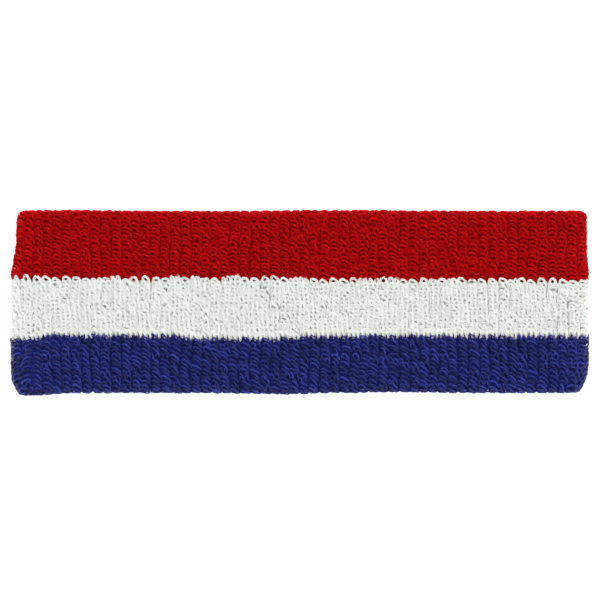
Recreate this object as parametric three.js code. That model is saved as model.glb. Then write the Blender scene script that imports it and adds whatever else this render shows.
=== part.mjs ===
// A terry cloth sweatband for the head, lying flat. It is one knitted tube folded double: an outer ply
// and an inner ply, each in three coloured stripes, with covered elastic threads between them and a
// seam that closes the tube on the head side of the blue edge. X runs along the flattened band, Y from
// the blue edge to the red one, and Z up through the thickness. Sizes are in millimetres.
import * as THREE from 'three';

// Driving dimensions
const flatLength = 180;
const redWidth = 21.4;
const whiteWidth = 18.1;
const blueWidth = 17.7;
const plyThickness = 1.9;
const plySpacing = 1.2;
const headOpening = 5;
const pieceGap = 0.3;
const elasticDiameter = 0.6;
const elasticCount = 22;
const seamDiameter = 0.9;
const blueHem = 4.3;
const overlap = 45;
const foldSteps = 12;

// Dimensions that follow from them
const bandWidth = redWidth + whiteWidth + blueWidth;
const wall = 2 * plyThickness + plySpacing;
const thickness = 2 * wall + headOpening;
const foldRadius = headOpening / 2;
const foldCentre = flatLength / 2 - wall - foldRadius;
const outerFace = wall;
const outerBack = wall - plyThickness;
const redEdge = bandWidth / 2;
const redStart = redEdge - redWidth;
const blueEdge = -bandWidth / 2;
const blueEnd = blueEdge + blueWidth;
const halfGap = pieceGap / 2;

const LEFT = -1;
const RIGHT = 1;

const cloth = { roughness: 0.95, metalness: 0 };
const materials = {
  red: new THREE.MeshStandardMaterial({ color: 0xa50e13, ...cloth }),
  white: new THREE.MeshStandardMaterial({ color: 0xecefea, ...cloth }),
  blue: new THREE.MeshStandardMaterial({ color: 0x2a2f6f, ...cloth }),
  elastic: new THREE.MeshStandardMaterial({ color: 0xb9b4ae, roughness: 0.7, metalness: 0 }),
  seam: new THREE.MeshStandardMaterial({ color: 0x30357a, roughness: 0.8, metalness: 0 }),
};

// The line where a wall meets the head: along the upper wall from a cut, round the fold at one end of
// the band and back along the lower wall. Its two straights are one step each and its fold foldSteps.
class FoldLine extends THREE.Curve {
  constructor(side, cutX) {
    super();
    this.side = side;
    this.cutX = cutX;
    this.steps = foldSteps + 2;
  }

  getPoint(t) {
    const step = t * this.steps;
    const centre = this.side * foldCentre;
    if (step < 1) {
      return new THREE.Vector3(THREE.MathUtils.lerp(this.cutX, centre, step), 0, foldRadius);
    }
    if (step > foldSteps + 1) {
      const along = step - foldSteps - 1;
      return new THREE.Vector3(THREE.MathUtils.lerp(centre, this.cutX, along), 0, -foldRadius);
    }
    const turn = (Math.PI * (step - 1)) / foldSteps;
    const x = centre + this.side * foldRadius * Math.sin(turn);
    return new THREE.Vector3(x, 0, foldRadius * Math.cos(turn));
  }

  getTangent(t) {
    const step = THREE.MathUtils.clamp(t * this.steps - 1, 0, foldSteps);
    const turn = (Math.PI * step) / foldSteps;
    return new THREE.Vector3(this.side * Math.cos(turn), 0, -Math.sin(turn));
  }

  // Steps are counted, not measured, so that the straights need no more than one
  getUtoTmapping(u) {
    return u;
  }
}

// A section point, given by its distance out from the head side and its place across the band
function sectionPoint(side, out, across) {
  return [-out, side * across];
}

// A stripe that lies flat in its ply, between two distances from the head side
function flatSection(side, near, far, low, high) {
  const section = new THREE.Shape();
  section.moveTo(...sectionPoint(side, near, low));
  section.lineTo(...sectionPoint(side, far, low));
  section.lineTo(...sectionPoint(side, far, high));
  section.lineTo(...sectionPoint(side, near, high));
  return section;
}

// An outer stripe whose long edge folds round to the head side: the wall, the rounded edge and the hem
// that comes back as far as hem from the edge. toEdge is +1 where the edge is the red one.
function hookedSection(side, toEdge, edge, start, hem) {
  const across = (fromEdge) => edge - toEdge * fromEdge;
  const section = new THREE.Shape();
  const curve = (cornerOut, cornerAcross, out, acrossTo) => {
    const corner = sectionPoint(side, cornerOut, cornerAcross);
    section.quadraticCurveTo(...corner, ...sectionPoint(side, out, acrossTo));
  };
  section.moveTo(...sectionPoint(side, outerFace, start));
  section.lineTo(...sectionPoint(side, outerFace, across(plyThickness)));
  curve(outerFace, edge, outerBack, edge);
  section.lineTo(...sectionPoint(side, plyThickness, edge));
  curve(0, edge, 0, across(plyThickness));
  if (hem > plyThickness) {
    section.lineTo(...sectionPoint(side, 0, across(hem)));
    section.lineTo(...sectionPoint(side, plyThickness, across(hem)));
    section.lineTo(...sectionPoint(side, plyThickness, across(plyThickness)));
  }
  section.lineTo(...sectionPoint(side, outerBack, across(plyThickness)));
  section.lineTo(...sectionPoint(side, outerBack, start));
  return section;
}

// One stripe of one ply, carried round the fold at its end of the band
function stripe(name, section, side, cutX, material) {
  const path = new FoldLine(side, cutX + side * halfGap);
  const geometry = new THREE.ExtrudeGeometry(section, {
    steps: path.steps,
    extrudePath: path,
    curveSegments: 4,
  });
  const mesh = new THREE.Mesh(geometry, material);
  mesh.name = name;
  return mesh;
}

// The three stripes of both plies at one end. The outer ply is cut at outerCut and the inner ply at
// innerCut, so that each ply bridges the other's cut as the band stretches.
function endOfBand(side, label, outerCut, innerCut) {
  const redHem = hookedSection(side, 1, redEdge, redStart + halfGap, plyThickness);
  const blueHemmed = hookedSection(side, -1, blueEdge, blueEnd - halfGap, blueHem);
  const whiteOuter = flatSection(side, outerBack, outerFace, blueEnd + halfGap, redStart - halfGap);
  const innerHigh = redEdge - plyThickness - pieceGap;
  const innerLow = blueEdge + blueHem + seamDiameter + 2 * pieceGap;
  const inner = (low, high) => flatSection(side, 0, plyThickness, low, high);
  const innerRed = inner(redStart + halfGap, innerHigh);
  const innerWhite = inner(blueEnd + halfGap, redStart - halfGap);
  const innerBlue = inner(innerLow, blueEnd - halfGap);
  const end = new THREE.Group();
  end.add(
    stripe(`outer_red_${label}`, redHem, side, outerCut, materials.red),
    stripe(`outer_white_${label}`, whiteOuter, side, outerCut, materials.white),
    stripe(`outer_blue_${label}`, blueHemmed, side, outerCut, materials.blue),
    stripe(`inner_red_${label}`, innerRed, side, innerCut, materials.red),
    stripe(`inner_white_${label}`, innerWhite, side, innerCut, materials.white),
    stripe(`inner_blue_${label}`, innerBlue, side, innerCut, materials.blue),
  );
  return end;
}

// Draws the whole loop at a distance out from the head side
function traceLoop(path, out) {
  const radius = foldRadius + out;
  path.moveTo(foldCentre, -radius);
  path.absarc(foldCentre, 0, radius, -Math.PI / 2, Math.PI / 2, false);
  path.lineTo(-foldCentre, radius);
  path.absarc(-foldCentre, 0, radius, Math.PI / 2, -Math.PI / 2, false);
  path.closePath();
  return path;
}

// A thread that runs once round the band: a ring whose middle is out from the head side
function threadRing(name, diameter, out, across, material) {
  const outline = traceLoop(new THREE.Shape(), out + diameter / 2);
  outline.holes.push(traceLoop(new THREE.Path(), out - diameter / 2));
  const geometry = new THREE.ExtrudeGeometry(outline, {
    depth: diameter,
    bevelEnabled: false,
    curveSegments: 5,
  });
  const mesh = new THREE.Mesh(geometry, material);
  mesh.name = name;
  mesh.rotation.x = Math.PI / 2;
  mesh.position.y = across + diameter / 2;
  return mesh;
}

// The elastic threads lie side by side between the plies, from the blue hem to the red edge
function elasticThreads() {
  const reach = pieceGap + elasticDiameter / 2;
  const first = blueEdge + blueHem + reach;
  const last = redEdge - plyThickness - reach;
  const threads = new THREE.Group();
  for (let i = 0; i < elasticCount; i += 1) {
    const across = THREE.MathUtils.lerp(first, last, i / (elasticCount - 1));
    const name = `elastic_thread_${String(i + 1).padStart(2, '0')}`;
    threads.add(threadRing(name, elasticDiameter, wall / 2, across, materials.elastic));
  }
  return threads;
}

// The seam lies in the groove between the blue hem and the inner ply that it joins
function closingSeam() {
  const across = blueEdge + blueHem + pieceGap + seamDiameter / 2;
  return threadRing('closing_seam_thread', seamDiameter, plyThickness / 2, across, materials.seam);
}

const headband = new THREE.Group();
headband.position.z = thickness / 2;
headband.add(
  endOfBand(LEFT, 'left', overlap, -overlap),
  endOfBand(RIGHT, 'right', overlap, -overlap),
  elasticThreads(),
  closingSeam(),
);

export default headband;
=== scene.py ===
"""A terry cloth headband lying flat: a knitted tube folded double, with its pile made loop by loop.

Lengths in this script are in millimetres until a mesh, light or camera is made. A place on the band is
given by three numbers: s, how far round the loop from the middle of the upper wall; t, how far across
the fabric from the middle of the outer face, on over either long edge and back along the head side;
and h, the height above the knitted ground.
"""

import math

import bpy
import numpy as np
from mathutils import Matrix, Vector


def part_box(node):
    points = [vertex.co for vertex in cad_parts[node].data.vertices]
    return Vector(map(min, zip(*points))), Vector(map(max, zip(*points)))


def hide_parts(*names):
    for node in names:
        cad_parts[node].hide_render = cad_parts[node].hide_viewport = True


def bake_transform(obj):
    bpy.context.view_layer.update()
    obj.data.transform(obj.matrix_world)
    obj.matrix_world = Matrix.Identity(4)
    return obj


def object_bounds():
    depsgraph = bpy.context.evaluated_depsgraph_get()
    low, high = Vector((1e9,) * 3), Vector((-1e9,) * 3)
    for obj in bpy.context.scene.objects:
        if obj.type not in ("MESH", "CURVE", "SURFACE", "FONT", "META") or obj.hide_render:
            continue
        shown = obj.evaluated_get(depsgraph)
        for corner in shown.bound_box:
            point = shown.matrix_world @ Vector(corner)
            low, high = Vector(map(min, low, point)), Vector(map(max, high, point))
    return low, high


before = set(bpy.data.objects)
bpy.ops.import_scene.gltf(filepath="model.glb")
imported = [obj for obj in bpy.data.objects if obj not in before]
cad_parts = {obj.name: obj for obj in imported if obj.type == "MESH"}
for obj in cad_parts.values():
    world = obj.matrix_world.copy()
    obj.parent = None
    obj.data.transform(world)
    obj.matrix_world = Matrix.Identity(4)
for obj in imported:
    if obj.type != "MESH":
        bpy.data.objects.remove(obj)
cad_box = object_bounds()

MM = 0.001

# ---- The band's sizes, from the frame ------------------------------------------------------------
HALF_LENGTH, HALF_WIDTH, THICKNESS = (c / MM for c in cad_box[1])
MIDDLE = THICKNESS / 2
RED_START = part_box("outer_red_left")[0].y / MM
BLUE_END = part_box("outer_blue_left")[1].y / MM
HEM_SEAM = sum(corner.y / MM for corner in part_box("closing_seam_thread")) / 2
PLY = 1.9  # one thickness of terry
FOLD_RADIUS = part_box("inner_white_left")[1].z / MM - MIDDLE - PLY
WALL = MIDDLE - FOLD_RADIUS
STRAIGHT = HALF_LENGTH - WALL - FOLD_RADIUS

# ---- How the fabric lies in the wall -------------------------------------------------------------
GROUND_RADIUS = 1.0  # of the ground where it folds over a long edge
EDGE_RADIUS = 2.2  # at which a length across the fabric is true on that fold
LOOP_RADIUS = 6.0  # at which a length round the band is true on its end folds
PRESSED_RIM = 0.45  # how far in from the band's outline its pile begins to be pressed flat
LOWEST = 0.35  # the height below which the pile is pressed flat by what the band lies on
LEFT_PROUD = 0.02  # the share of its depth below that height that the pile keeps
WALL_MIDDLE = WALL / 2
OUTER_HALF = HALF_WIDTH - WALL_MIDDLE
EDGE_TURN = math.pi * EDGE_RADIUS
END_TURN = math.pi * LOOP_RADIUS
ROUND = 4 * STRAIGHT + 2 * END_TURN

# ---- The knitting --------------------------------------------------------------------------------
WALES = 120  # the columns of loops, all round the band
WALE = ROUND / WALES
COURSE = 1.275  # from one row of loops to the next
CROWDED_COURSE = 1.12  # in the white stripe, whose loops stand closer
YARN_RADIUS = 0.42  # on the head side, where the yarn is made whole
STRANDS = 3  # plied into the yarn
STRAND_SIDES = 4
GROUND_THICKNESS = 0.5
CROWN = 1.15  # how far a loop's crown reaches past its root, towards the red edge
OVER_EDGE = OUTER_HALF + EDGE_TURN + 1.0  # across the fabric, to where the outer ply's pile ends
SEAM_REACH = 1.0  # from the closing seam to the nearest pile on either side of it
RAW_EDGE = 0.9  # from the closing seam's middle to each raw edge that it joins

# The seeds of the smooth fields that make the pile uneven
WANDER, SAG, TANGLE, LEAN = 3, 4, 5, 6

RED, WHITE, BLUE = "red", "white", "blue"
COLOURS = {  # of the dyed cotton, linear
    RED: (0.525, 0.0022, 0.0044),
    WHITE: (0.935, 0.96, 0.92),
    BLUE: (0.021, 0.030, 0.222),
}
STRAND_RADIUS = {RED: 0.16, WHITE: 0.2, BLUE: 0.125}
STRAND_OFFSET = {RED: 0.26, WHITE: 0.27, BLUE: 0.21}  # from the yarn's middle
SLANT = {RED: 0.14, WHITE: 0.14, BLUE: 0.22}  # how far the pile is drawn out to the lower right
SWEEP = {RED: 0.55, WHITE: 0.1, BLUE: 0.95}  # how far the loops lean over to the right
PAIRED = {RED: 0.18, WHITE: 0.96, BLUE: 0.12}  # the share of loops that are two narrow ones side by side


def smoothstep(low, high, x):
    t = np.clip((x - low) / (high - low), 0, 1)
    return t * t * (3 - 2 * t)


def ripple(seed, x, y, wavelength):
    """A smooth random field with a spread of about one, from waves in many directions."""
    waves = 9
    rng = np.random.default_rng(seed)
    turn = rng.uniform(0, 2 * math.pi, waves)
    size = 2 * math.pi / (wavelength * rng.uniform(0.6, 1.6, waves))
    phase = rng.uniform(0, 2 * math.pi, waves)
    total = 0
    for k in range(waves):
        along = x * math.cos(turn[k]) + y * math.sin(turn[k])
        total = total + np.sin(along * size[k] + phase[k])
    return total * math.sqrt(2 / waves)


def across_wall(t, h):
    """Distance out from the head side, and place across the band."""
    radius = GROUND_RADIUS + h
    past = np.abs(t) - OUTER_HALF
    turn = np.clip(past / EDGE_RADIUS, 0, math.pi)
    back = np.maximum(past - EDGE_TURN, 0)
    reach = OUTER_HALF + np.minimum(past, 0) + radius * np.sin(turn) - back
    return WALL_MIDDLE + radius * np.cos(turn), np.sign(t) * reach


def round_loop(s, out):
    """Place along the band and up, of a point that is out from the head side."""
    s = np.mod(s + STRAIGHT, ROUND) - STRAIGHT
    radius = FOLD_RADIUS + out
    on_upper = s - STRAIGHT
    on_lower = on_upper - END_TURN - 2 * STRAIGHT
    right = np.clip(on_upper / LOOP_RADIUS, 0, math.pi)
    left = np.clip(on_lower / LOOP_RADIUS, 0, math.pi)
    run_out = np.minimum(s, STRAIGHT)
    run_back = np.clip(on_upper - END_TURN, 0, 2 * STRAIGHT)
    x = run_out - run_back + radius * (np.sin(right) - np.sin(left))
    up = radius * np.cos(right + left)
    return x, MIDDLE + np.where(on_lower > END_TURN, radius, up)


def pressed(x, limit):
    """Places that have been pressed part of the way back where they would stand out past the limit."""
    share = 0.65
    over = np.maximum(np.abs(x) - limit, 0)
    return x - np.sign(x) * share * over


def bump(x, middle, width):
    return np.exp(-(((x - middle) / width) ** 2))


def lines_off_true(x):
    """How far towards the red edge the blue edge, the two stripe lines and the red edge lie off true."""
    bottom = -0.60 + 0.9 * smoothstep(-84, -70, x) - 0.35 * bump(x, -6, 12) + 0.3 * bump(x, 31, 14)
    lower_line = 0.4 + 1.05 * smoothstep(-84, -77, x) - 1.0 * smoothstep(-42, -30, x)
    lower_line += 0.85 * smoothstep(-4, 4, x)
    upper_line = 1.2 - 0.4 * smoothstep(-87, -76, x) - 0.6 * smoothstep(-6, 3, x)
    upper_line -= 0.3 * smoothstep(72, 88, x)
    top = -0.25 + 0.12 * np.sin(x / 15.0 + 0.5)
    return bottom, lower_line, upper_line, top


def ends_drawn_in(y):
    """How far in from true the left and right ends lie: at the blue corners most, then at the red edge."""
    left = 1.9 * smoothstep(4, 19, y) + 0.5 * bump(y, -3, 4) + 0.5 * bump(y, HALF_WIDTH, 3.0)
    left += 2.1 * bump(y, -HALF_WIDTH, 3.6) + 0.2 * smoothstep(-9, -14, y)
    right = 0.6 * smoothstep(9, 15, y) + 0.45 * bump(y, -2, 6) + 2.3 * bump(y, -HALF_WIDTH, 4.2)
    return left, right


def rest_shape(x, y, z):
    """The real band isn't a true rectangle: this moves each point to where the relaxed cloth has it."""
    x, y = pressed(x, HALF_LENGTH - PRESSED_RIM), pressed(y, HALF_WIDTH - PRESSED_RIM)
    lines = (-HALF_WIDTH, BLUE_END, RED_START, HALF_WIDTH)
    offset = 0
    for k, amount in enumerate(lines_off_true(x)):
        offset = offset + amount * np.interp(y, lines, np.eye(4)[k])
    left, right = ends_drawn_in(y)
    end = smoothstep(0.86, 1.0, np.abs(x) / HALF_LENGTH)
    moved_x = x + end * np.where(x < 0, left, -right)
    return moved_x, y + offset, z


def on_band(s, t, h):
    """Points in metres, for places on the band."""
    out, y = across_wall(t, h)
    x, z = round_loop(s, out)
    x, y, z = rest_shape(x, y, z)
    z = np.where(z < LOWEST, LOWEST + LEFT_PROUD * (z - LOWEST), z)
    return np.stack([x, y, z], -1) * MM


# ---- Meshes --------------------------------------------------------------------------------------
def add_mesh(name, points, faces, material, attributes=None):
    """A smooth mesh piece from arrays of points and of equal-sided faces."""
    mesh = bpy.data.meshes.new(name)
    corners = [f.shape[1] for f in faces]
    counts = [len(f) for f in faces]
    loops = np.concatenate([f.reshape(-1) for f in faces]).astype(np.int32)
    totals = np.repeat(corners, counts).astype(np.int32)
    starts = np.concatenate([[0], np.cumsum(totals)[:-1]]).astype(np.int32)
    mesh.vertices.add(len(points))
    mesh.vertices.foreach_set("co", points.astype(np.float32).reshape(-1))
    mesh.loops.add(len(loops))
    mesh.loops.foreach_set("vertex_index", loops)
    mesh.polygons.add(len(totals))
    mesh.polygons.foreach_set("loop_start", starts)
    mesh.update(calc_edges=True)
    mesh.validate()
    mesh.shade_smooth()
    for key, values in (attributes or {}).items():
        layer = mesh.attributes.new(key, "FLOAT", "POINT")
        layer.data.foreach_set("value", values.astype(np.float32).reshape(-1))
    mesh.materials.append(material)
    piece = bpy.data.objects.new(name, mesh)
    bpy.context.collection.objects.link(piece)
    return piece


def stretches(piece, slot, *nodes):
    """The piece is cloth or thread of the band that stands for these CAD nodes: they are hidden, and its
    placing is moved into its mesh.
    """
    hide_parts(*nodes)
    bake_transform(piece)
    return piece


def frames_along(paths, closed):
    """Two directions square to each path at every step, carried along it without twisting."""
    if closed:
        ahead = np.roll(paths, -1, 1) - np.roll(paths, 1, 1)
    else:
        ahead = np.gradient(paths, axis=1)
    tiny = 1e-12
    ahead /= np.linalg.norm(ahead, axis=2, keepdims=True) + tiny
    across = np.zeros_like(paths)
    any_way = np.array([0.31, 0.52, 0.79])
    side = np.cross(ahead[:, 0], any_way)
    for k in range(paths.shape[1]):
        side = side - (side * ahead[:, k]).sum(1, keepdims=True) * ahead[:, k]
        side /= np.linalg.norm(side, axis=1, keepdims=True) + tiny
        across[:, k] = side
    return across, np.cross(ahead, across)


def tube_mesh(paths, radius, sides, closed):
    """Tubes along many paths at once: paths is tubes by steps by 3, and radius has a value per tube."""
    tubes, steps, _ = paths.shape
    across, upward = frames_along(paths, closed)
    turn = np.arange(sides) * 2 * math.pi / sides
    ring = (
        across[:, :, None] * np.cos(turn)[None, None, :, None]
        + upward[:, :, None] * np.sin(turn)[None, None, :, None]
    )
    points = paths[:, :, None] + ring * radius.reshape(tubes, -1, 1, 1)
    index = np.arange(tubes * steps * sides).reshape(tubes, steps, sides)
    here, there = index[:, :-1], index[:, 1:]
    if closed:
        here, there = index, np.roll(index, -1, 1)
    beside = np.roll(here, -1, 2), np.roll(there, -1, 2)
    quads = np.stack([here, beside[0], beside[1], there], -1).reshape(-1, 4)
    faces = [quads]
    if not closed:
        faces += [index[:, 0, ::-1].reshape(-1, sides), index[:, -1].reshape(-1, sides)]
    return points.reshape(-1, 3), faces


# ---- Materials -----------------------------------------------------------------------------------
class Shader:
    """A Principled material, and the nodes that lead to its surface."""

    def __init__(self, name):
        self.material = bpy.data.materials.new(name)
        self.material.use_nodes = True
        self.tree = self.material.node_tree
        self.surface = self.tree.nodes["Principled BSDF"]

    def add(self, kind, **settings):
        node = self.tree.nodes.new(kind)
        for key, value in settings.items():
            setattr(node, key, value)
        return node

    def join(self, source, target):
        self.tree.links.new(source, target)

    def set(self, values):
        """Sets the surface's own sockets, which are given by name."""
        for name, value in values.items():
            self.surface.inputs[name].default_value = value

    def math(self, operation, a, b=0):
        node = self.add("ShaderNodeMath", operation=operation)
        for socket, value in zip(node.inputs, (a, b)):
            if isinstance(value, (int, float)):
                socket.default_value = value
            else:
                self.join(value, socket)
        return node.outputs[0]

    def noise(self, scale, detail):
        coordinates = self.add("ShaderNodeTexCoord")
        node = self.add("ShaderNodeTexNoise")
        node.inputs["Scale"].default_value = scale
        node.inputs["Detail"].default_value = detail
        self.join(coordinates.outputs["Object"], node.inputs["Vector"])
        return node.outputs["Fac"]

    def dye(self, colour, value):
        """Colours the surface, lighter where value is above 1 and darker where it is below."""
        node = self.add("ShaderNodeHueSaturation")
        node.inputs["Color"].default_value = (*colour, 1)
        self.join(value, node.inputs["Value"])
        self.join(node.outputs[0], self.surface.inputs["Base Color"])

    def relief(self, height, strength, distance):
        """Raises the surface a little where height is more."""
        node = self.add("ShaderNodeBump")
        node.inputs["Strength"].default_value = strength
        node.inputs["Distance"].default_value = distance
        self.join(height, node.inputs["Height"])
        self.join(node.outputs[0], self.surface.inputs["Normal"])


def cotton(colour, spread, gloss, roughness, scatter=0.0):
    """Cotton pile: each loop takes the dye a little differently, by spread, and scatters some light."""
    darkest = 0.45
    softened = [c**0.5 for c in COLOURS[colour]]
    shader = Shader(f"{colour}_cotton")
    loop_shade = shader.add("ShaderNodeAttribute", attribute_name="shade").outputs["Fac"]
    zones = shader.math("SUBTRACT", shader.noise(scale=160, detail=3), 0.5)
    fibres = shader.math("SUBTRACT", shader.noise(scale=2600, detail=2), 0.5)
    value = shader.math("MULTIPLY", loop_shade, spread)
    value = shader.math("ADD", value, shader.math("MULTIPLY", zones, spread))
    value = shader.math("ADD", value, shader.math("MULTIPLY", fibres, 3.4 * spread))
    shader.dye(COLOURS[colour], shader.math("MAXIMUM", shader.math("ADD", value, 1.0), darkest))
    shader.relief(shader.noise(scale=7000, detail=2), strength=0.35, distance=0.00008)
    shader.set({
        "Subsurface Weight": scatter,
        "Subsurface Radius": [0.25 + c for c in softened],
        "Subsurface Scale": 0.0005,
        "Roughness": roughness,
        "Specular IOR Level": gloss,
        "Sheen Weight": 0.08,
        "Sheen Tint": (*softened, 1),
        "Sheen Roughness": 0.55,
    })
    return shader.material


PILE = {
    RED: cotton(RED, spread=0.08, gloss=0.06, roughness=0.85, scatter=0.6),
    WHITE: cotton(WHITE, spread=0.015, gloss=0.10, roughness=0.8),
    BLUE: cotton(BLUE, spread=0.40, gloss=0.32, roughness=0.46),
}


# ---- Pile loops ----------------------------------------------------------------------------------
# Each shape is a loop's centre line, as places round the band, across it and above the ground, from its
# root by way of its crown to its root again.
UPRIGHT = np.array([
    (-1.00, -0.70, -0.10),
    (-1.16, -0.30, 0.62),
    (-1.12, 0.25, 1.04),
    (-0.68, 0.76, 1.28),
    (0.00, 0.92, 1.32),
    (0.68, 0.72, 1.36),
    (1.16, 0.20, 1.14),
    (1.20, -0.35, 0.70),
    (1.06, -0.80, -0.05),
])
SWEPT = np.array([
    (-1.10, -0.30, -0.10),
    (-1.24, 0.15, 0.55),
    (-1.00, 0.60, 0.98),
    (-0.45, 0.84, 1.24),
    (0.20, 0.74, 1.42),
    (0.82, 0.42, 1.46),
    (1.28, 0.00, 1.26),
    (1.48, -0.45, 0.80),
    (1.42, -0.80, -0.05),
])
BUD = np.array([
    (-0.40, -0.60, -0.10),
    (-0.54, -0.15, 0.70),
    (-0.48, 0.50, 1.12),
    (-0.06, 1.00, 1.26),
    (0.44, 0.70, 1.32),
    (0.60, 0.15, 1.22),
    (0.62, -0.45, 0.86),
    (0.50, -0.95, -0.05),
])
BUD_GAP = 0.74  # from the middle of a wale to each bud, where it has two instead of an arch
CREASE = -82.4  # round the loop, where the left fold parts the pile
CREASE_WIDTH = 1.6  # from its middle to where it has all but gone
FOLD_PILE = 14.0  # how far on from the crease the pile leans the other way
CREASED = {RED: 0.0, WHITE: 0.1, BLUE: 1.0}  # how much each stripe shows the crease
FREE_REACH = 0.05, 0.5  # how much longer white's last loops are, over the red: the least and the most
FREE_PAIRED = 0.3  # the share of those that are two narrow loops
RAISED_REACH, RAISED_HEIGHT = 0.2, 0.1  # how much longer and higher blue's last loops are
TUCKED = 0.35  # how far white's first loops are drawn up behind those


def spline_weights(points, steps):
    """Catmull-Rom weights that turn a loop's few points into steps places on a smooth curve."""
    weights = np.zeros((steps, points))
    for row, u in enumerate(np.linspace(0, points - 1, steps)):
        k = min(int(u), points - 2)
        f = u - k
        cubic = (
            -0.5 * f + f * f - 0.5 * f**3,
            1 - 2.5 * f * f + 1.5 * f**3,
            0.5 * f + 2 * f * f - 1.5 * f**3,
            -0.5 * f * f + 0.5 * f**3,
        )
        for offset, weight in zip((-1, 0, 1, 2), cubic):
            weights[row, np.clip(k + offset, 0, points - 1)] += weight
    return weights


def strand_tubes(rng, paths, yarn, shade):
    """A yarn's strands, twisted round each path, given how far they lie off it and their radius."""
    count, steps, _ = paths.shape
    offset, strand_radius = yarn
    sideways, upward = frames_along(paths, False)
    start = rng.uniform(0, 2 * math.pi, (count, 1))
    turns = rng.uniform(0.8, 1.5, (count, 1))
    twist = -turns * 2 * math.pi * np.linspace(0, 1, steps)
    strands = []
    for number in range(STRANDS):
        angle = (start + twist + 2 * math.pi * number / STRANDS)[..., None]
        spread = 1 + 0.15 * rng.standard_normal((count, 1, 1))
        apart = (sideways * np.cos(angle) + upward * np.sin(angle)) * spread * offset * MM
        radius = strand_radius * (1 + 0.08 * rng.standard_normal(count)) * MM
        tone = 0.5 * shade + 1.1 * rng.standard_normal(count)
        mesh = tube_mesh(paths + apart, radius, STRAND_SIDES, False)
        strands.append((*mesh, np.repeat(tone, steps * STRAND_SIDES)))
    return strands


def pile_tubes(rng, shapes, s, t, yarn, fine, neat):
    """Loops at many places, with a shape for each. neat is from 0, tangled, to 1, in good order."""
    count, places, _ = shapes.shape
    mess = smoothstep(0.3, 1.8, ripple(TANGLE, s, t, 22.0)) * (1 - neat) * 0.8 + 0.08
    width = 0.95 + 0.06 * rng.standard_normal(count)
    height = np.clip(1 + 0.09 * rng.standard_normal(count), 0.75, 1.25)
    lean = 1 + 0.10 * rng.standard_normal(count)
    loops = shapes * np.stack([width, lean, height], -1)[:, None]
    loops += rng.standard_normal(loops.shape) * (0.04 + 0.07 * mess)[:, None, None]
    turn = rng.standard_normal(count) * (0.07 + 0.34 * mess)
    cos, sin = np.cos(turn)[:, None], np.sin(turn)[:, None]
    along = loops[..., 0] * cos - loops[..., 1] * sin
    across = loops[..., 0] * sin + loops[..., 1] * cos
    shift = rng.standard_normal((2, count)) * (0.07 + 0.14 * mess)
    steps = places + 4 if fine else places - 1
    weights = spline_weights(places, steps)
    along = (along + (s + shift[0])[:, None]) @ weights.T
    across = (across + (t + shift[1])[:, None]) @ weights.T
    above = np.clip(loops[..., 2] @ weights.T, -0.15, 1.75)
    paths = on_band(along, across, above)
    shade = np.clip(rng.standard_normal(count), -2, 2)
    if fine:
        return strand_tubes(rng, paths, yarn, shade)
    mesh = tube_mesh(paths, np.full(count, YARN_RADIUS * MM), STRAND_SIDES, False)
    return [(*mesh, np.repeat(shade, steps * STRAND_SIDES))]


def merge(parts):
    """One mesh's arrays from those of many."""
    points, quads, caps, shade = [], [], [], []
    start = 0
    for part_points, (part_quads, *part_caps), part_shade in parts:
        points.append(part_points)
        quads.append(part_quads + start)
        caps += [cap + start for cap in part_caps]
        shade.append(part_shade)
        start += len(part_points)
    return np.concatenate(points), [np.concatenate(quads), *caps], np.concatenate(shade)


def drawn_out(shapes, slant, flattened):
    """Loops pulled towards one diagonal, and pressed lower where they are flattened."""
    along = shapes[..., 0] - slant[:, None] * shapes[..., 1]
    across = shapes[..., 1] - slant[:, None] * shapes[..., 0]
    above = shapes[..., 2] * (1 - 0.35 * flattened[:, None])
    return np.stack([along, across, above], -1)


def past_crease(colour, s):
    """How far each loop is past the crease, which way it leans, from 1 to -1, and how near it is."""
    past = np.mod(CREASE - s + ROUND / 2, ROUND) - ROUND / 2
    way = np.where((past > 0) & (past < FOLD_PILE), 1.0 - 2.0 * CREASED[colour], 1.0)
    return past, way, CREASED[colour] * np.exp(-((past / CREASE_WIDTH) ** 2))


def rows_between(low, high, course=COURSE):
    """Courses whose loops fill a stripe from low to high across the fabric."""
    count = round((high - low) / course)
    return low + (np.arange(count) + 0.5) * (high - low) / count


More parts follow.
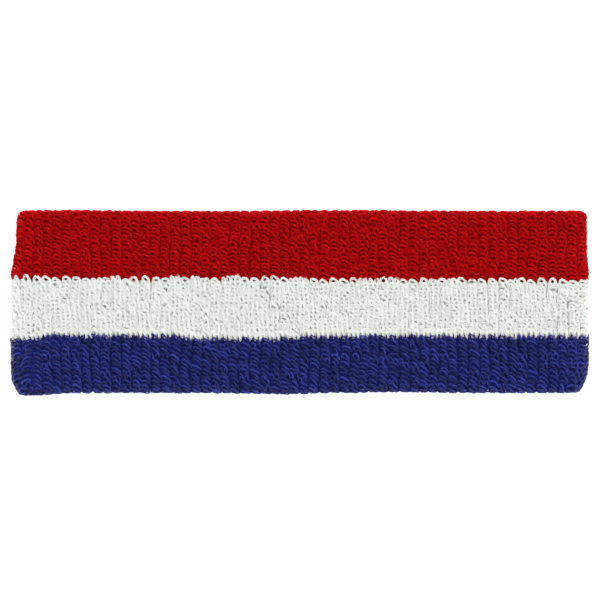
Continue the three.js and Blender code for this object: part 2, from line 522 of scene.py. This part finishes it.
def pile(name, colour, rows, first_wale, last_wale, seed, fine):
    """The pile of one stripe, over some of the wales."""
    rng = np.random.default_rng(seed)
    wales = np.arange(first_wale, last_wale) + 0.5
    s, t = (grid.reshape(-1) for grid in np.meshgrid(wales * WALE, rows))
    row = np.repeat(np.arange(len(rows)), len(wales))
    wander = 0.24 * ripple(WANDER, s, t, 15.0)
    sag = 0.15 * ripple(SAG, s, t, 5.5)
    s, t = s + wander, t + sag
    past, way, near_crease = past_crease(colour, s)
    s = s - 0.25 * np.sign(past) * near_crease
    last_row = row == len(rows) - 1
    free = last_row & (colour == WHITE)
    raised = last_row & (colour == BLUE)
    t = t + TUCKED * ((row == 0) & (colour == WHITE))
    paired = rng.uniform(size=len(s)) < np.where(free, FREE_PAIRED, PAIRED[colour])
    reach = 1 + rng.uniform(*FREE_REACH, len(s)) * free + RAISED_REACH * raised
    swept = np.clip(SWEEP[colour] + 0.35 * ripple(LEAN, s, t, 18.0), 0, 1.2)[:, None, None]
    arches = UPRIGHT + swept * (SWEPT - UPRIGHT)
    arches[..., 0] *= way[:, None]
    arches[..., 1] *= reach[:, None]
    arches[..., 2] *= 1 + RAISED_HEIGHT * raised[:, None]
    arches = drawn_out(arches, SLANT[colour] * way, near_crease)
    yarn = STRAND_OFFSET[colour], STRAND_RADIUS[colour]
    parts = pile_tubes(rng, arches[~paired], s[~paired], t[~paired], yarn, fine, 0.0)
    for side in (-1, 1):
        at = s[paired] + side * BUD_GAP
        buds = np.repeat(BUD[None], len(at), 0)
        buds[..., 1] *= reach[paired, None]
        buds = drawn_out(buds, SLANT[colour] * way[paired], near_crease[paired])
        parts += pile_tubes(rng, buds, at, t[paired], yarn, fine, 0.6)
    points, faces, shade = merge(parts)
    return add_mesh(name, points, faces, PILE[colour], {"shade": shade})


def on_head_side(y, toward):
    """Across the fabric to a place y on the head side, over the red edge (toward 1) or the blue (-1)."""
    return toward * (OUTER_HALF + EDGE_TURN + OUTER_HALF - toward * y)


OUTER_ROWS = {
    RED: rows_between(RED_START - CROWN, OVER_EDGE),
    WHITE: rows_between(BLUE_END - CROWN, RED_START - CROWN, CROWDED_COURSE),
    BLUE: rows_between(-OVER_EDGE, BLUE_END - CROWN),
}
INNER_ROWS = {
    RED: rows_between(OVER_EDGE, on_head_side(RED_START, 1)),
    WHITE: rows_between(on_head_side(RED_START, 1), on_head_side(BLUE_END, 1)),
    BLUE: rows_between(on_head_side(BLUE_END, 1), on_head_side(HEM_SEAM + SEAM_REACH, 1)),
}
HEM_ROWS = rows_between(on_head_side(HEM_SEAM - SEAM_REACH, -1), -OVER_EDGE)
PARTS = ("front_left", "front_middle", "front_right", "back_right", "back_middle", "back_left")


def all_pile():
    """Each stripe's outer pile in six parts round the band, and its head side's pile in one."""
    share = WALES // len(PARTS)
    pieces = []
    for seed, colour in enumerate((RED, WHITE, BLUE)):
        slot = f"{colour}_terry"
        outer = [f"outer_{colour}_{end}" for end in ("left", "right")]
        inner = [f"inner_{colour}_{end}" for end in ("left", "right")]
        for turn, part in enumerate(PARTS):
            first = (turn - 1) * share - share // 2
            name = f"{colour}_pile_{part}"
            piece = pile(name, colour, OUTER_ROWS[colour], first, first + share, 10 * seed + turn, True)
            pieces.append(stretches(piece, slot, *outer))
        rows = INNER_ROWS[colour]
        if colour == BLUE:
            rows = np.concatenate([rows, HEM_ROWS])
        piece = pile(f"{colour}_pile_head_side", colour, rows, 0, WALES, 10 * seed + 9, False)
        pieces.append(stretches(piece, slot, *inner))
    return pieces


# ---- Knitted ground ------------------------------------------------------------------------------
def ground_material(colour):
    """Plain knitting in fine nylon, in the stripe's colour: rows of small upright stitches."""
    shader = Shader(f"{colour}_ground")
    place = shader.add("ShaderNodeUVMap", uv_map="knit")
    split = shader.add("ShaderNodeSeparateXYZ")
    shader.join(place.outputs[0], split.inputs[0])
    across = shader.math("MULTIPLY", split.outputs[0], 2 * math.pi)
    up = shader.math("MULTIPLY", split.outputs[1], 2 * math.pi)
    bend = shader.math("MULTIPLY", shader.math("SINE", across), 1.6)
    stitch = shader.math("SINE", shader.math("ADD", up, bend))
    rib = shader.math("COSINE", shader.math("MULTIPLY", across, 2))
    relief = shader.math("ADD", stitch, rib)
    # The stitches are painted a little darker in their grooves and lighter on their tops, from the same
    # height as the bump: painted shade.
    shader.dye(COLOURS[colour], shader.math("ADD", shader.math("MULTIPLY", relief, 0.06), 1.0))
    shader.relief(relief, strength=0.8, distance=0.0003)
    shader.set({"Roughness": 0.85, "Specular IOR Level": 0.05})
    return shader.material


def knitted_ground():
    """The sheet that the loops stand on, from its raw edge at the hem right round to the other."""
    first = on_head_side(HEM_SEAM - RAW_EDGE, -1)
    last = on_head_side(HEM_SEAM + RAW_EDGE, 1)
    across_steps, round_steps = 96, 240
    t = np.linspace(first, last, across_steps)
    s = np.arange(round_steps) * ROUND / round_steps
    grid_t, grid_s = np.meshgrid(t, s, indexing="ij")
    half = GROUND_THICKNESS / 2
    faces_out = on_band(grid_s, grid_t, half), on_band(grid_s, grid_t, -half)
    points = np.concatenate([p.reshape(-1, 3) for p in faces_out])
    index = np.arange(len(points)).reshape(2, across_steps, round_steps)
    beside = np.roll(index, -1, 2)
    upper = np.stack([index[0, :-1], beside[0, :-1], beside[0, 1:], index[0, 1:]], -1)
    under = np.stack([index[1, :-1], index[1, 1:], beside[1, 1:], beside[1, :-1]], -1)
    hem = np.stack([index[0, 0], index[1, 0], beside[1, 0], beside[0, 0]], -1)
    end = np.stack([index[0, -1], beside[0, -1], beside[1, -1], index[1, -1]], -1)
    quads = np.concatenate([q.reshape(-1, 4) for q in (upper, under, hem, end)])
    materials = {colour: ground_material(colour) for colour in (RED, WHITE, BLUE)}
    piece = add_mesh("knitted_ground", points, [quads], materials[RED])
    piece.data.materials.append(materials[WHITE])
    piece.data.materials.append(materials[BLUE])
    corner_t = np.tile(grid_t.reshape(-1), 2)[quads]
    corner_s = np.tile(grid_s.reshape(-1), 2)[quads]
    wraps = corner_s.max(1) - corner_s.min(1) > ROUND / 2
    corner_s = np.where(wraps[:, None] & (corner_s < ROUND / 2), corner_s + ROUND, corner_s)
    knit = np.stack([corner_s / WALE, corner_t / COURSE], -1)
    layer = piece.data.uv_layers.new(name="knit")
    layer.data.foreach_set("uv", knit.astype(np.float32).reshape(-1))
    place = across_wall(corner_t.mean(1), 0.0)[1]
    covered = 0.3  # by which blue loops stand over the white ground's edge
    slots = np.where(place > RED_START - CROWN, 0, np.where(place > BLUE_END - covered, 1, 2))
    piece.data.polygons.foreach_set("material_index", slots.astype(np.int32))
    ends = [f"{colour}_{end}" for colour in COLOURS for end in ("left", "right")]
    stretches(piece, "red_terry", *(f"{ply}_{end}" for ply in ("outer", "inner") for end in ends))
    return piece, (last - first) * MM


# ---- Threads -------------------------------------------------------------------------------------
def thread_material(name, colour, turns, roughness):
    """A thread wound or spun: fine ridges slant round it, and turns says how close they lie."""
    shader = Shader(name)
    along = shader.add("ShaderNodeAttribute", attribute_name="wind").outputs["Fac"]
    ridge = shader.math("SINE", shader.math("MULTIPLY", along, turns))
    # The thread is painted a little darker in the grooves between its ridges and lighter on them, from the
    # same ridges as the bump: painted shade.
    shader.dye(colour, shader.math("ADD", shader.math("MULTIPLY", ridge, 0.12), 0.95))
    shader.relief(ridge, strength=0.5, distance=0.0001)
    shader.set({"Roughness": roughness})
    return shader.material


def thread_ring(name, out, y, radius, sides, material):
    """A thread once round the band, given by its distance out and place across at each step."""
    ridge_slant = 0.5
    steps = len(out)
    s = np.arange(steps) * ROUND / steps
    x, z = round_loop(s, out)
    path = np.stack(rest_shape(x, y, z), -1)[None] * MM
    points, faces = tube_mesh(path, np.array([radius * MM]), sides, True)
    along = np.repeat(s, sides) + np.tile(np.arange(sides), steps) / sides * ridge_slant
    return add_mesh(name, points, faces, material, {"wind": along})


def elastic_threads():
    """The covered elastics between the plies, each in its CAD thread's place and a little uneven."""
    material = thread_material("covered_elastic", (0.42, 0.40, 0.38), 12.0, 0.55)
    radius, sides, steps = 0.22, 6, 360
    turn = 2 * math.pi * np.arange(steps) / steps
    pieces = []
    nodes = sorted(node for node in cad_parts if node.startswith("elastic_thread"))
    for number, node in enumerate(nodes):
        low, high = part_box(node)
        y = (low.y + high.y) / 2 / MM + 0.12 * np.sin(40 * turn + number)
        out = WALL_MIDDLE + 0.05 * np.sin(60 * turn + 2.4 * number)
        piece = thread_ring(f"covered_{node}", out, y, radius, sides, material)
        pieces.append(stretches(piece, "elastic_thread", node))
    return pieces


def closing_seam():
    """Overlock stitches: two looper threads that zigzag over the raw edges, and a needle chain."""
    material = thread_material("seam_yarn", (0.030, 0.036, 0.17), 9.0, 0.7)
    stitches, stitch_steps = 150, 8
    radius, sides = 0.17, 5
    beat = 2 * math.pi * np.arange(stitches * stitch_steps) / stitch_steps
    overs = HEM_SEAM + 1.25 * np.sin(beat), 0.55 + 0.38 * np.cos(beat)
    unders = HEM_SEAM + 1.25 * np.sin(beat + math.pi), 0.70 + 0.30 * np.cos(beat + math.pi)
    chain = HEM_SEAM + 1.15 + 0.16 * np.sin(2 * beat), 0.42 + 0.14 * np.cos(beat)
    pieces = []
    for name, (y, out) in (("over", overs), ("under", unders), ("needle", chain)):
        piece = thread_ring(f"closing_seam_{name}_thread", out, y, radius, sides, material)
        pieces.append(stretches(piece, "seam_thread", "closing_seam_thread"))
    return pieces


# ---- Stage, light and camera ---------------------------------------------------------------------
def stage():
    """A pale floor that also glows a little, as a light table does."""
    mesh = bpy.data.meshes.new("floor")
    reach = 3.0
    corners = [(-reach, -reach, 0), (reach, -reach, 0), (reach, reach, 0), (-reach, reach, 0)]
    mesh.from_pydata(corners, [], [(0, 1, 2, 3)])
    floor = bpy.data.objects.new("floor", mesh)
    bpy.context.collection.objects.link(floor)
    shader = Shader("pale_floor")
    shader.set({
        "Base Color": (0.93, 0.93, 0.93, 1),
        "Emission Color": (1, 1, 1, 1),
        "Emission Strength": 0.55,
        "Roughness": 0.9,
        "Specular IOR Level": 0.1,
    })
    mesh.materials.append(shader.material)


def area_light(name, place, power):
    """A soft round lamp that points at the band."""
    light = bpy.data.lights.new(name, "AREA")
    light.shape = "DISK"
    light.size = 0.8
    light.energy = power
    lamp = bpy.data.objects.new(name, light)
    lamp.location = place
    aim = -lamp.location
    lamp.rotation_euler = aim.to_track_quat("-Z", "Y").to_euler()
    bpy.context.collection.objects.link(lamp)


def lights():
    """A room that is bright at floor level and dimmer above, with soft lamps on three sides."""
    world = bpy.data.worlds.new("studio")
    world.use_nodes = True
    nodes, links = world.node_tree.nodes, world.node_tree.links
    place = nodes.new("ShaderNodeTexCoord")
    height = nodes.new("ShaderNodeSeparateXYZ")
    shade = nodes.new("ShaderNodeMapRange")
    links.new(place.outputs["Generated"], height.inputs[0])
    links.new(height.outputs["Z"], shade.inputs["Value"])
    for name, value in {"From Min": 0.2, "From Max": 0.45, "To Min": 1.02, "To Max": 0.68}.items():
        shade.inputs[name].default_value = value
    background = nodes["Background"]
    background.inputs["Color"].default_value = (1, 1, 1, 1)
    links.new(shade.outputs[0], background.inputs["Strength"])
    bpy.context.scene.world = world
    area_light("lamp_left", (-0.85, 0.05, 0.85), 3.0)
    area_light("lamp_right", (0.85, 0.05, 0.85), 3.0)
    area_light("lamp_behind", (0.0, 0.95, 0.75), 3.6)


def camera():
    """A long lens straight above, so that the band is seen almost without perspective."""
    lens = bpy.data.cameras.new("camera")
    lens.lens = 200
    lens.sensor_width = 36
    lens.clip_end = 20
    view_width = 0.1865
    distance = view_width * lens.lens / lens.sensor_width
    eye = bpy.data.objects.new("camera", lens)
    eye.location = (0.00015, 0.00062, MIDDLE * MM + distance)
    bpy.context.collection.objects.link(eye)
    bpy.context.scene.camera = eye
    bpy.context.scene.view_settings.view_transform = "Standard"


camera()
lights()
stage()
ground, cut_width = knitted_ground()
details = all_pile() + elastic_threads() + closing_seam()
